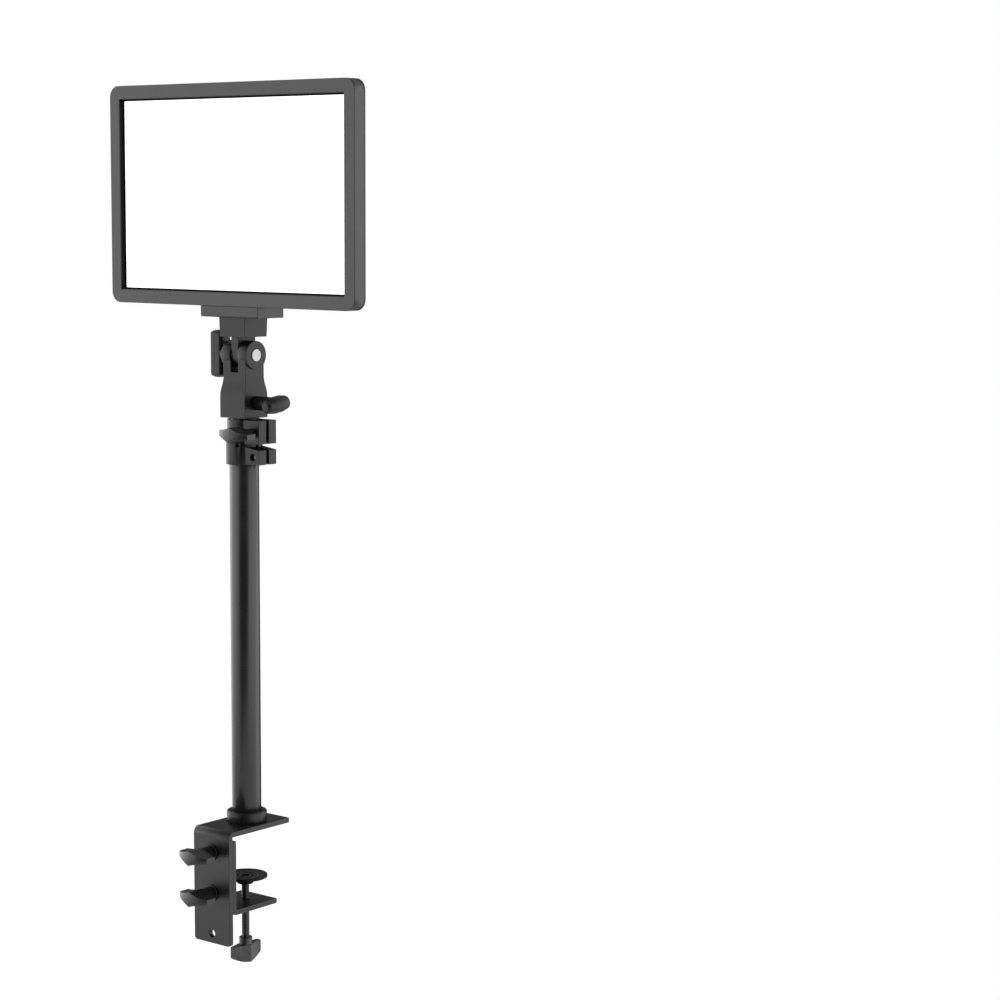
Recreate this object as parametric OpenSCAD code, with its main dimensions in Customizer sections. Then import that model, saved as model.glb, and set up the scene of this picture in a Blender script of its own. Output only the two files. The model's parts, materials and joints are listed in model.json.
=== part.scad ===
// LED panel light on a telescopic pole with a desk clamp.
// Millimetres. +Z up, the light shines toward -Y, and X runs along the panel.
// The origin is on the pole axis, at the desk face under the clamp's top plate.

/* [Desk clamp] */
// Width of the clamp plate and of the jaw bracket
plate_w = 38.5; // [32:0.5:44]
// Thickness of both bent plates
plate_t = 4; // [3:0.5:4.5]
// Distance from the pole axis to the plate's outer face
plate_reach = 39.5; // [38:0.5:46]
// Distance from the pole axis to the top plate's free end
plate_front = 28; // [22:0.5:40]
// Length of the vertical plate below the desk face
plate_drop = 86.5; // [84:0.5:110]
// Distance from the desk face to the jaw's floor
jaw_floor = 58.5; // [56:0.5:62]
// Distance from the pole axis to the jaw floor's free end
jaw_front = 13.5; // [12:0.5:26]
// Distance from the desk face to the upper wing bolt
bolt_drop = 14; // [12:0.5:16]
// Spacing of the three bolt holes
bolt_pitch = 32.5; // [31:0.5:34]
// Distance from the desk face to the pad's rim
pad_drop = 39; // [34:0.5:46]
// Diameter of the clamp pad
pad_d = 35; // [30:1:38]

/* [Pole] */
// Outer diameter of the outer tube
tube_d = 23; // [20:0.5:24]
// Height of the outer tube's top above the desk face
tube_top = 305.5; // [250:0.5:400]
// Length of the inner tube below the head
inner_len = 268; // [150:1:280]
// Diameter of the base flange
flange_d = 31.5; // [28:0.5:34]

/* [Head] */
// Height of the tilt axis above the collar's top
tilt_rise = 49.7; // [48:0.1:56]
// Diameter of the tilt bolt
tilt_bolt_d = 9.4; // [7:0.1:9.5]
// Thickness of the tongue between the ears
tongue_t = 7.2; // [6:0.1:8]
// Length of the tilt knob's bar
tilt_bar_l = 37; // [24:1:40]

/* [Panel] */
// Width of the panel
panel_w = 260; // [240:1:320]
// Height of the panel
panel_h = 170; // [160:1:220]
// Thickness of the panel
panel_t = 12; // [12:0.5:18]
// Width of the border around the light window
border = 10.5; // [9:0.5:16]
// Height of the panel's lower edge above the tilt axis
panel_rise = 37.5; // [36:0.5:44]
// Width of the control housing
control_w = 131; // [124:1:150]
// Depth of the control housing
control_d = 9; // [8:0.5:12]
// Diameter of the two control knobs
knob_d = 27; // [22:1:30]
// Width of the power housing
power_w = 61; // [56:1:72]

/* [Hidden] */
$fn = 64;
play = 0.05;        // radial clearance of every running fit
gap = 0.3;          // clearance between bodies that pass each other

// clamp
bend_r = 5;
leg_gap = 3.5;      // jaw leg's top below the desk face
hole_d = 6.4;
stud_d = 6;
screw_d = 6.35;
screw_y = -2.3;
hub_d = 10.5;
wing_l = 30;        // wing, tip to tip
wing_t = 4.2;       // wing thickness at its tips
wing_mid = 12;      // wing thickness over the hub
wing_h = 14;
wing_sag = 5;       // how far the wing's rounded edge falls back at its tips
wing_turn = -4;
wing_hub = 9.6;     // hub length of a clamp wing bolt
lug_hub = 12;       // hub length of the collar's wing bolt
lug_hub_d = 7.5;
knob_hub = 5.5;     // hub length of the clamp knob
knob_drop = pad_drop + 50.8;
leg_y = -plate_reach + 2 * plate_t;
bolt_z = [for (i = [0:2]) -bolt_drop - i * bolt_pitch];

// pole
tube_wall = 1.2;
bore_d = tube_d - 2 * tube_wall;
inner_d = bore_d - 2 * play;
flange_h = 9;
collar_step = tube_top + 0.5;
collar_top = collar_step + 16.3;
collar_base = collar_step - 18.7;
collar_d = tube_d + 5;
collar_neck_d = tube_d + 2.8;
lug_x = 25.2;
lug_y = 9.5;
slit = 3;
lug_bolt_x = 18.4;
lug_bolt_z = collar_top - 9.7;
lug_screw_z = collar_base + 6.5;
lug_stud_d = 5;
lug_nut_af = 8;
spigot_d = 16;

// head
tilt_z = collar_top + tilt_rise;
clevis_base = collar_top + 1.2;
clevis_w = 26.5;
clevis_dp = 25;
ear_w = 23.6;
ear_r = 10.5;
boss_w = 27;
boss_d = 22;
slot_w = tongue_t + 1.2;
slot_floor = tilt_z - 13.2;
spigot_top = clevis_base + 26.5;
t_screw_z = clevis_base + 11.5;
t_screw_d = 8;
t_hub_d = 11.6;
t_bar_x = 34.5;
t_bar_d = 13;       // thickest, at its middle
t_bar_end_d = 10.4;
t_bar_l = 24.5;
t_bar_turn = 8;
tilt_stud_d = 6;    // the tilt bolt's thinner end, inside its knob
tilt_hub_d = 12.2;
tilt_bar_x0 = -31;
tilt_bar_t = 12;
tilt_bar_w = 12.4;
block_base = tilt_z + 14;
foot_base = tilt_z + 29;

// panel
front_y = -15.7;
back_y = front_y + panel_t;
panel_base = tilt_z + panel_rise;
panel_z = panel_base + panel_h / 2;
panel_r = 9;
window_depth = 4.5;
frame_wall = 6.5;
cover_t = 1.5;
seat_y = front_y + window_depth;
cover_y = back_y - cover_t;
guide_w = panel_w - 2 * frame_wall - 5;
guide_h = panel_h - 2 * frame_wall - 5;
guide_t = 3;
diffuser_t = 1;
strip_w = guide_w - 4;
strip_t = 0.8;
led_n = 24;
led = [3.5, 2.6, 0.9];
screw_inset = 3.4;
cover_screws_at = concat(
    [for (x = [-55, 55], s = [-1, 1]) [x, panel_z + s * (panel_h / 2 - screw_inset)]],
    [for (s = [-1, 1], dz = [-69, 0, 69]) [s * (panel_w / 2 - screw_inset), panel_z + dz]]);
vent_n = 16;
vent_pitch = 9.14;
vent_h = 21;
vent_w = 2;
top_vent_z = panel_base + panel_h - 18.5;
low_vent_z = panel_base + 19;
louver_n = 14;
louver_pitch = 7.3;
louver_l = 42;
louver_x = 99.7;

// controls
control_base = panel_base + 38;
control_h = 93.5;
control_y = back_y + control_d;
shell = 1.8;
notch_w = [75, 65];
notch_h = 5.2;
lcd_z = control_base + 71;
lens = [64, 38];
lcd_view = [53, 27];
knob_x = 45.2;
knob_z = control_base + 24.8;
knob_top = control_y + 9.5;
shaft_d = 6;
groove_d = 15;
board_y = back_y + 0.6;
board_t = 1.6;
post_at = [for (x = [-59.5, 59.5], z = [10, control_h - 10]) [x, control_base + z]];

// power housing
foot_y = back_y + 18;
foot_top = control_base + 0.9;
socket_x = 17.7;
socket_z = foot_base + 30.6;
socket_d = 8;
socket_nut_d = 12;
socket_well_d = 16;
recess = [24, 28.9];
recess_d = 3;
recess_x = -11.4;
recess_z = foot_base + 30.4;
switch_rim = 2;
switch_core = [15, 19];
rocker_size = [11.6, 16.4];
rocker_y = foot_y - recess_d - 2.9;
rocker_r = rocker_size[1] / 2;

// ---------- shared shapes ----------

// Box between two corners
module box(from, to) { translate(from) cube(to - from); }

// Rounded rectangle, centred
module round_rect(w, h, r) {
    square([w - 2 * r, h], center = true);
    square([w, h - 2 * r], center = true);
    for (x = [-1, 1], y = [-1, 1]) translate([x * (w / 2 - r), y * (h / 2 - r)]) circle(r);
}

// Round bar along X between x0 and x1
module x_bar(d, x0, x1, y = 0, z = 0) {
    translate([x0, y, z]) rotate([0, 90, 0]) cylinder(d = d, h = x1 - x0);
}

// Round bar along Y between y0 and y1
module y_bar(d, y0, y1, x = 0, z = 0) {
    translate([x, y1, z]) rotate([90, 0, 0]) cylinder(d = d, h = y1 - y0);
}

// A 2D outline in X and Z, made solid between y0 and y1
module slab(y0, y1, x = 0, z = 0) {
    translate([x, y1, z]) rotate([90, 0, 0]) linear_extrude(y1 - y0) children();
}

// A 2D outline in Y and Z, made solid between x0 and x1
module side_slab(x0, x1) {
    translate([x0, 0, 0]) rotate([90, 0, 90]) linear_extrude(x1 - x0) children();
}

// Bent strip: a leg of height a and a floor of length b, with a rounded outer corner
module bent_strip(a, b, t, r) {
    difference() {
        union() {
            square([t, a]);
            square([b, t]);
        }
        difference() {
            translate([-1, -1]) square(r + 1);
            translate([r, r]) circle(r);
        }
    }
}

// Wing seen along its axis: thick over the hub, thinning in a curve to both tips
module wing_outline() polygon([
    for (x = [-1, -0.75, -0.5, -0.25, 0, 0.25, 0.5, 0.75, 1])
        [x * wing_l / 2, wing_t / 2 + (wing_mid - wing_t) / 2 * pow(1 - abs(x), 1.6)],
    for (x = [1, 0.75, 0.5, 0.25, 0, -0.25, -0.5, -0.75, -1])
        [x * wing_l / 2, -wing_t / 2 - (wing_mid - wing_t) / 2 * pow(1 - abs(x), 1.6)]]);

// Plastic wing on a hub, growing along +Z
module wing(hub, d = hub_d) {
    arc_r = (wing_l * wing_l / 4 + wing_sag * wing_sag) / (2 * wing_sag);
    cylinder(d = d, h = hub + 1);
    translate([0, 0, hub]) intersection() {
        linear_extrude(wing_h) wing_outline();
        rotate([90, 0, 0]) linear_extrude(wing_mid + 2, center = true) intersection() {
            translate([0, wing_h - arc_r - 0.02]) circle(arc_r, $fn = 128);
            translate([-wing_l, 0]) square([2 * wing_l, 2 * wing_h]);
        }
    }
}

// Wing bolt along Y: stud toward +Y, wing toward -Y, from the seat at y
module wing_bolt(y, stud, stud_l, hub = wing_hub, d = hub_d) {
    translate([0, y, 0]) rotate([90, 0, 0]) rotate([0, 0, wing_turn]) wing(hub, d);
    y_bar(stud, y, y + stud_l);
}

// Pan-head screw along Y, its head toward +Y from the seat at y
module screw_y(y, head, head_h, shank, length) {
    y_bar(head, y, y + head_h);
    y_bar(shank, y - length, y);
}

// ---------- light unit ----------

module front_bezel() color("dimgray") difference() {
    slab(front_y, cover_y, 0, panel_z) round_rect(panel_w, panel_h, panel_r);
    slab(front_y - 1, cover_y + 1, 0, panel_z)
        square([panel_w - 2 * border, panel_h - 2 * border], center = true);
    slab(seat_y, cover_y + 1, 0, panel_z)
        round_rect(panel_w - 2 * frame_wall, panel_h - 2 * frame_wall, 3);
    for (p = cover_screws_at) y_bar(2, cover_y - 5, cover_y + 1, p[0], p[1]);
}

module diffuser_sheet() color("white")
    slab(seat_y, seat_y + diffuser_t, 0, panel_z) round_rect(guide_w + 3, guide_h + 3, 2);

module light_guide_plate() color("aliceblue")
    slab(seat_y + diffuser_t, seat_y + diffuser_t + guide_t, 0, panel_z)
        square([guide_w, guide_h], center = true);

module reflector_sheet() color("white")
    slab(seat_y + diffuser_t + guide_t, seat_y + diffuser_t + guide_t + 0.3, 0, panel_z)
        square([guide_w, guide_h], center = true);

// side is 1 for the upper strip and -1 for the lower one
module led_strip(side) {
    z = panel_z + side * (panel_h / 2 - frame_wall - strip_t / 2);
    color("whitesmoke") slab(seat_y + diffuser_t, seat_y + diffuser_t + guide_t, 0, z)
        square([strip_w, strip_t], center = true);
}

// Every second LED along both strips, starting with the first one
module leds(first) {
    step = strip_w / led_n;
    y = seat_y + diffuser_t + (guide_t - led[1]) / 2;
    for (side = [-1, 1], i = [first:2:led_n - 1])
        translate([(i + 0.5) * step - strip_w / 2, y + led[1] / 2,
            panel_z + side * (panel_h / 2 - frame_wall - strip_t - led[2] / 2)])
            cube([led[0], led[1], led[2]], center = true);
}

module heat_spreader() color("silver") difference() {
    y0 = seat_y + diffuser_t + guide_t + 0.3;
    slab(y0, cover_y, 0, panel_z) round_rect(guide_w + 3, guide_h + 3, 2);
    slab(y0 + 0.8, cover_y + 1, 0, panel_z) round_rect(guide_w, guide_h, 2);
    for (x = [-20, 20]) y_bar(4, y0 - 1, y0 + 2, x, control_base + 20);
}

module back_cover() color("dimgray") difference() {
    slab(cover_y, back_y, 0, panel_z) round_rect(panel_w, panel_h, panel_r);
    for (p = cover_screws_at) y_bar(2.4, cover_y - 1, back_y + 1, p[0], p[1]);
    for (i = [0:vent_n - 1]) {
        x = (i - (vent_n - 1) / 2) * vent_pitch;
        slab(cover_y - 1, back_y + 1, x, top_vent_z) square([vent_w, vent_h], center = true);
        if (abs(x) > power_w / 2 + 4)
            slab(cover_y - 1, back_y + 1, x, low_vent_z) square([vent_w, vent_h], center = true);
    }
    for (side = [-1, 1], i = [0:louver_n - 1]) {
        x = side * louver_x;
        z = panel_z + (i - (louver_n - 1) / 2) * louver_pitch;
        slab(back_y - 0.5, back_y + 1, x, z) square([louver_l, 0.9], center = true);
        y_bar(2.5, cover_y - 1, back_y + 1, x + louver_l / 2 - 1, z);
    }
    for (p = post_at) y_bar(2.6, cover_y - 1, back_y + 1, p[0], p[1]);
    for (z = [panel_base + 22, control_base + 20])
        slab(cover_y - 1, back_y + 1, 0, z) square([24, 10], center = true);
}

module cover_screws() color("silver")
    for (p = cover_screws_at) translate([p[0], 0, p[1]]) difference() {
        screw_y(back_y, 4, 0.9, 2, 5);
        for (a = [0, 90]) translate([0, back_y + 0.7, 0]) rotate([0, a, 0])
            cube([2.4, 1, 0.5], center = true);
    }

// ---------- controls ----------

// Outline of the control housing, with the notch over the power housing
module control_outline(inset) difference() {
    translate([0, control_h / 2]) round_rect(control_w - 2 * inset, control_h - 2 * inset, 8 - inset);
    low = notch_w[0] / 2 + inset;
    high = notch_w[1] / 2 + inset;
    polygon([[-low, -1], [low, -1], [low, inset], [high, notch_h + inset], [-high, notch_h + inset],
        [-low, inset]]);
}

module control_housing() color("dimgray") difference() {
    slab(back_y, control_y, 0, control_base) control_outline(0);
    difference() {
        slab(back_y - 1, control_y - shell, 0, control_base) control_outline(shell);
        for (p = post_at) y_bar(6, back_y - 1, control_y, p[0], p[1]);
    }
    for (p = post_at) y_bar(2.4, back_y - 1, control_y - shell - 1.5, p[0], p[1]);
    slab(control_y - 0.8, control_y + 1, 0, lcd_z) round_rect(lens[0], lens[1], 2);
    slab(back_y, control_y + 1, 0, lcd_z) square(lcd_view, center = true);
    for (side = [-1, 1]) y_bar(9, back_y, control_y + 1, side * knob_x, knob_z);
}

// Flat heads under the back cover, shanks in the control housing's posts
module housing_screws() color("silver") for (p = post_at) {
    y_bar(5, cover_y - 0.7, cover_y, p[0], p[1]);
    y_bar(2.4, cover_y - 0.1, control_y - shell - 1.5, p[0], p[1]);
}

module lcd_lens() color("black")
    slab(control_y - 0.8, control_y + 0.1, 0, lcd_z) round_rect(lens[0], lens[1], 2);

module lcd_module() color("lightskyblue")
    slab(board_y + board_t, control_y - shell, 0, lcd_z) square([60, 34], center = true);

module control_board() color("darkgreen") difference() {
    slab(board_y, board_y + board_t, 0, control_base + control_h / 2 + 2)
        round_rect(control_w - 20, control_h - 18, 3);
    for (x = [-51, 51], z = [-30, 30])
        y_bar(3.2, board_y - 1, board_y + board_t + 1, x, control_base + control_h / 2 + 2 + z);
}

// side is 1 for the dimmer and -1 for the colour control
module encoder(side) {
    color("silver") difference() {
        union() {
            slab(board_y + board_t, board_y + board_t + 4, side * knob_x, knob_z)
                square([12, 13], center = true);
            y_bar(8.4, board_y + board_t + 3.9, control_y + 1.5, side * knob_x, knob_z);
        }
        y_bar(shaft_d + 2 * play, board_y + board_t + 1, control_y + 2, side * knob_x, knob_z);
    }
}

module encoder_shaft(side) color("silver")
    y_bar(shaft_d, board_y + board_t + 1.2, knob_top - 2, side * knob_x, knob_z);

// Ribbed knob with a ring groove on its face
module control_knob(side) {
    ribs = 48;
    translate([side * knob_x, 0, knob_z]) color("dimgray") difference() {
        union() {
            slab(control_y + gap, knob_top - 1) polygon([for (i = [0:2 * ribs - 1])
                (knob_d / 2 - (i % 2) * 0.6) * [cos(i * 180 / ribs), sin(i * 180 / ribs)]]);
            translate([0, knob_top, 0]) rotate([90, 0, 0]) cylinder(d1 = knob_d - 3, d2 = knob_d - 1.6, h = 1.2);
        }
        y_bar(9.4, control_y - 1, control_y + 2, 0, 0);
        y_bar(shaft_d, control_y - 1, knob_top - 2, 0, 0);
        translate([0, knob_top + 1, 0]) rotate([90, 0, 0]) difference() {
            cylinder(d = groove_d, h = 1.7);
            translate([0, 0, -1]) cylinder(d = groove_d - 1.8, h = 4);
        }
    }
}

// ---------- power housing ----------

module power_housing() color("dimgray") difference() {
    side_slab(-power_w / 2, power_w / 2) polygon([
        [front_y, foot_base + 1], [front_y + 1, foot_base], [foot_y - 1.5, foot_base],
        [foot_y, foot_base + 4.5], [foot_y, foot_top - 5.5], [foot_y - 2.5, foot_top],
        [back_y, foot_top], [back_y, panel_base], [front_y, panel_base]]);
    for (s = [-1, 1]) translate([s * power_w / 2, foot_y, foot_base - 1])
        linear_extrude(foot_top - foot_base + 2) polygon([[0, -1.4], [-s * 2.6, 0], [0, 1], [s, 0]]);
    box([-power_w / 2 + 2, front_y + 2, foot_base + 2.5], [power_w / 2 - 2, foot_y - 4.5, panel_base - 1.5]);
    box([-power_w / 2 + 2, back_y - 1, foot_base + 2.5], [power_w / 2 - 2, foot_y - 4.5, foot_top - 2]);
    slab(foot_y - recess_d, foot_y + 1, recess_x, recess_z) round_rect(recess[0], recess[1], 1.5);
    slab(0, foot_y, recess_x, recess_z) square(switch_core + [0.2, 0.2], center = true);
    y_bar(socket_d, 0, foot_y + 1, socket_x, socket_z);
    translate([socket_x, foot_y + 0.5, socket_z]) rotate([90, 0, 0])
        cylinder(d1 = socket_well_d + 1, d2 = socket_nut_d + 1, h = 2);
    for (x = [-7, 7]) translate([x, 0, foot_base - 1]) cylinder(d = 3.4, h = 5);
}

module dc_socket() color("black") difference() {
    y_bar(socket_d, foot_y - 14, foot_y - 0.4, socket_x, socket_z);
    y_bar(5.6, foot_y - 10, foot_y + 2, socket_x, socket_z);
}

module dc_socket_nut() color("silver") difference() {
    y_bar(socket_nut_d, foot_y - 1.5, foot_y + 0.3, socket_x, socket_z);
    y_bar(socket_d, foot_y - 2, foot_y - 0.4, socket_x, socket_z);
    y_bar(5.6, foot_y - 1, foot_y + 2, socket_x, socket_z);
}

module dc_socket_pin() color("silver") y_bar(2.1, foot_y - 10, foot_y - 1, socket_x, socket_z);

// Frame flush with the housing, sunken floor, and the switch's core behind it
module switch_body() color("black") translate([recess_x, 0, recess_z]) difference() {
    floor_y = foot_y - recess_d;
    union() {
        slab(floor_y, foot_y + 0.2) round_rect(recess[0] - 0.6, recess[1] - 0.6, 1.2);
        slab(floor_y - 12, floor_y) square(switch_core, center = true);
    }
    slab(floor_y + 0.8, foot_y + 1)
        square([recess[0] - 0.6 - 2 * switch_rim, recess[1] - 0.6 - 2 * switch_rim], center = true);
    slab(floor_y - 10, foot_y) square([rocker_size[0] + 0.6, 17.6], center = true);
    x_bar(2 + 2 * play, -7.1, 7.1, rocker_y, 0);
}

// Rocker with two sloping faces, on its own pivot pins, pressed in at the top
module switch_rocker() color("black") translate([recess_x, rocker_y, recess_z]) rotate([8, 0, 0]) {
    half = rocker_size[0] / 2;
    side_slab(-half, half) polygon([[-3, -4], [-3, 4], [1.5, rocker_r - 0.6],
        [5.6, rocker_r - 0.9], [4.4, 0], [5.6, -rocker_r + 0.9], [1.5, -rocker_r + 0.6]]);
    x_bar(2, -7, 7, 0, 0);
}

module driver_board() color("darkgreen")
    box([-26, foot_y - 16.5, foot_base + 6], [26, foot_y - 15, foot_top - 4]);

// Two wires from the socket, down and across to the switch
module supply_wires() for (i = [0, 1]) color(i == 0 ? "red" : "black") {
    y = foot_y - 9 + 3 * i;
    low = foot_base + 12;
    x_bar(1.2, recess_x, socket_x, y, low);
    translate([socket_x, y, low]) cylinder(d = 1.2, h = socket_z - socket_d / 2 - low);
    translate([recess_x, y, low]) cylinder(d = 1.2, h = recess_z - switch_core[1] / 2 - low);
}

// ---------- tilt head ----------

module tilt_block() color("dimgray") difference() {
    union() {
        intersection() {
            slab(-13, 13) polygon([[-13.2, block_base], [13.2, block_base],
                [13.7, foot_base], [-13.7, foot_base]]);
            side_slab(-14, 14) polygon([[-12.2, block_base], [12.2, block_base],
                [12.6, foot_base], [-12.6, foot_base]]);
        }
        box([-tongue_t / 2, -9.5, tilt_z], [tongue_t / 2, 9.5, block_base + 1]);
        x_bar(19, -tongue_t / 2, tongue_t / 2, 0, tilt_z);
    }
    x_bar(tilt_bolt_d + 2 * play, -6, 6, 0, tilt_z);
    for (x = [-7, 7]) translate([x, 0, foot_base - 10]) cylinder(d = 3, h = 11);
}

module block_screws() color("silver") for (x = [-7, 7]) translate([x, 0, foot_base - 9]) {
    cylinder(d = 3, h = 11.5);
    translate([0, 0, 11.5]) cylinder(d = 5.6, h = 2);
}

module tilt_washers() color("white") for (side = [-1, 1]) difference() {
    x0 = side > 0 ? tongue_t / 2 + 0.03 : -slot_w / 2 + 0.03;
    x_bar(18, x0, x0 + 0.54, 0, tilt_z);
    x_bar(tilt_bolt_d + 2 * play, x0 - 1, x0 + 2, 0, tilt_z);
}

module tilt_bolt() color("silver") {
    x_bar(tilt_bolt_d, -boss_w / 2, boss_w / 2 + 0.6, 0, tilt_z);
    x_bar(tilt_stud_d, tilt_bar_x0 + 5, 0, 0, tilt_z);
}

module tilt_knob() color("dimgray") translate([0, 0, tilt_z]) difference() {
    x0 = tilt_bar_x0;
    x1 = x0 + tilt_bar_t;
    union() {
        x_bar(tilt_hub_d, x1 - 1, -boss_w / 2 - 0.1);
        intersection() {
            slab(-20, 20, (x0 + x1) / 2, 0) round_rect(tilt_bar_t, tilt_bar_l, 5.5);
            side_slab(x0, x1) round_rect(tilt_bar_w, tilt_bar_l, 4);
            translate([(x0 + x1) / 2, 0, -tilt_bar_l / 2]) linear_extrude(tilt_bar_l)
                round_rect(tilt_bar_t, tilt_bar_w, 2.6);
        }
    }
    x_bar(tilt_stud_d, x0 + 5, 0);
}

// Half depth of the clevis at height z: wide body, waist, narrow ears
function waist(z, wide, narrow, z0, z1) =
    z <= z0 ? wide : z >= z1 ? narrow :
    narrow + (wide - narrow) * (1 + cos(180 * (z - z0) / (z1 - z0))) / 2;

// Outline of the clevis below the tilt axis, from its half depths
module waisted(wide, narrow, z0, z1) {
    steps = [clevis_base, for (i = [0:8]) z0 + (z1 - z0) * i / 8, tilt_z];
    n = len(steps);
    polygon([for (z = steps) [waist(z, wide, narrow, z0, z1), z],
        for (i = [n - 1:-1:0]) [-waist(steps[i], wide, narrow, z0, z1), steps[i]]]);
}

module clevis_body() color("dimgray") difference() {
    union() {
        intersection() {
            side_slab(-clevis_w / 2, clevis_w / 2) {
                waisted(clevis_dp / 2, ear_r - 0.4, clevis_base + 16, clevis_base + 31);
                translate([0, tilt_z]) circle(ear_r);
            }
            slab(-clevis_dp / 2, clevis_dp / 2) {
                waisted(clevis_w / 2, ear_w / 2, clevis_base + 18, clevis_base + 33);
                translate([-ear_w / 2, tilt_z - 0.01]) square([ear_w, ear_r + 1]);
            }
        }
        x_bar(boss_d, -boss_w / 2, boss_w / 2, 0, tilt_z);
    }
    box([-slot_w / 2, -20, slot_floor], [slot_w / 2, 20, tilt_z + 20]);
    x_bar(tilt_bolt_d + 2 * play, -20, 20, 0, tilt_z);
    translate([0, 0, clevis_base - 1]) cylinder(d = spigot_d + 2 * play, h = spigot_top - clevis_base + 2);
    x_bar(t_screw_d + 2 * play, 4, 20, 0, t_screw_z);
    x_bar(14, -20, -4, 0, t_screw_z);
}

module t_screw() color("silver") x_bar(t_screw_d, spigot_d / 2 + gap, t_bar_x, 0, t_screw_z);

module t_handle() color("dimgray") translate([0, 0, t_screw_z]) difference() {
    union() {
        x_bar(t_hub_d - 0.6, clevis_w / 2 + gap, t_bar_x);
        translate([t_bar_x, 0, 0]) rotate([90 + t_bar_turn, 0, 0]) rotate_extrude() polygon([
            [0, -t_bar_l / 2], [t_bar_end_d / 2 - 2, -t_bar_l / 2], [t_bar_end_d / 2, 2 - t_bar_l / 2],
            [t_bar_d / 2, -4], [t_bar_d / 2, 4],
            [t_bar_end_d / 2, t_bar_l / 2 - 2], [t_bar_end_d / 2 - 2, t_bar_l / 2], [0, t_bar_l / 2]]);
    }
    x_bar(t_screw_d, 0, t_bar_x);
}

// ---------- pole ----------

module spigot() color("dimgray") {
    translate([0, 0, collar_top - 19.3]) cylinder(d = inner_d - 2 * tube_wall, h = 20);
    translate([0, 0, collar_top]) cylinder(d = spigot_d, h = spigot_top - collar_top);
}

module inner_tube() color("dimgray") translate([0, 0, collar_top + 0.7 - inner_len]) difference() {
    cylinder(d = inner_d, h = inner_len);
    translate([0, 0, -1]) cylinder(d = inner_d - 2 * tube_wall, h = inner_len + 2);
}

module slider_bush() color("white") translate([0, 0, collar_top + 0.7 - inner_len]) {
    cylinder(d = inner_d - 2 * tube_wall, h = 12);
    translate([0, 0, -4]) cylinder(d = inner_d, h = 4);
}

module outer_tube() color("dimgray") translate([0, 0, plate_t]) difference() {
    cylinder(d = tube_d, h = tube_top - plate_t);
    translate([0, 0, -1]) cylinder(d = bore_d, h = tube_top);
}

module collar() color("dimgray") difference() {
    union() {
        translate([0, 0, collar_base]) cylinder(d = collar_d, h = collar_step - collar_base - 2);
        translate([0, 0, collar_step - 2]) cylinder(d1 = collar_d, d2 = collar_neck_d, h = 2);
        translate([0, 0, collar_step]) cylinder(d = collar_neck_d, h = collar_top - collar_step);
        slab(-lug_y, lug_y) polygon([[6, collar_top], [lug_x, collar_top],
            [lug_x, collar_top - 18.2], [6, collar_step - 2.6]]);
        slab(-lug_y, lug_y) polygon([[6, collar_step - 3.8], [lug_x, collar_base + 12],
            [lug_x, collar_base + 0.8], [6, collar_base + 0.8]]);
    }
    translate([0, 0, collar_base - 1]) cylinder(d = tube_d, h = collar_step - collar_base + 1);
    translate([0, 0, collar_base]) cylinder(d = bore_d, h = collar_top);
    box([5, -slit / 2, collar_base - 1], [lug_x + 1, slit / 2, collar_top + 1]);
    y_bar(lug_stud_d + 2 * play, -20, 20, lug_bolt_x, lug_bolt_z);
    translate([lug_bolt_x, lug_y + 1, lug_bolt_z]) rotate([90, 0, 0])
        cylinder(d = (lug_nut_af + 0.2) / cos(30), h = 5.2, $fn = 6);
    y_bar(3, -lug_y - 1, lug_y + 1, lug_bolt_x, lug_screw_z);
    y_bar(5.8, -lug_y - 1, -lug_y + 3, lug_bolt_x, lug_screw_z);
    y_bar(3.6, -16, -11.2, 5.3, collar_base + 15.5);
}

module collar_nut() color("silver") translate([lug_bolt_x, lug_y - 1.6, lug_bolt_z]) rotate([90, 0, 0])
    difference() {
        cylinder(d = lug_nut_af / cos(30), h = 2.6, $fn = 6);
        translate([0, 0, -1]) cylinder(d = lug_stud_d + 2 * play, h = 6);
    }

module collar_wing_bolt() color("dimgray") translate([lug_bolt_x, 0, lug_bolt_z])
    wing_bolt(-lug_y - 0.1, lug_stud_d, 2 * lug_y - 2, lug_hub, lug_hub_d);

module lug_screw() color("silver") translate([lug_bolt_x, 0, lug_screw_z]) difference() {
    screw_y(lug_y, 6, 1.6, 3, 2 * lug_y - 3);
    translate([0, lug_y + 1.5, 0]) for (a = [0, 90]) rotate([0, a, 0]) cube([3.6, 1.4, 0.8], center = true);
}

// ---------- desk clamp ----------

module base_flange() color("dimgray") translate([0, 0, plate_t]) difference() {
    union() {
        cylinder(d = flange_d, h = flange_h - 0.8);
        translate([0, 0, flange_h - 0.8]) cylinder(d1 = flange_d, d2 = flange_d - 1.6, h = 0.8);
    }
    translate([0, 0, -1]) cylinder(d = tube_d, h = flange_h + 2);
}

module tube_plug() color("gray") translate([0, 0, plate_t]) difference() {
    cylinder(d = bore_d, h = 16);
    translate([0, 0, -1]) cylinder(d = stud_d, h = 18);
}

module flange_screw() color("silver") {
    difference() {
        translate([0, 0, 0.3]) cylinder(d1 = 12, d2 = stud_d, h = 3);
        translate([0, 0, 0.2]) cylinder(d = 4.6, h = 1.6, $fn = 6);
    }
    translate([0, 0, 3]) cylinder(d = stud_d, h = 14);
}

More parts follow.
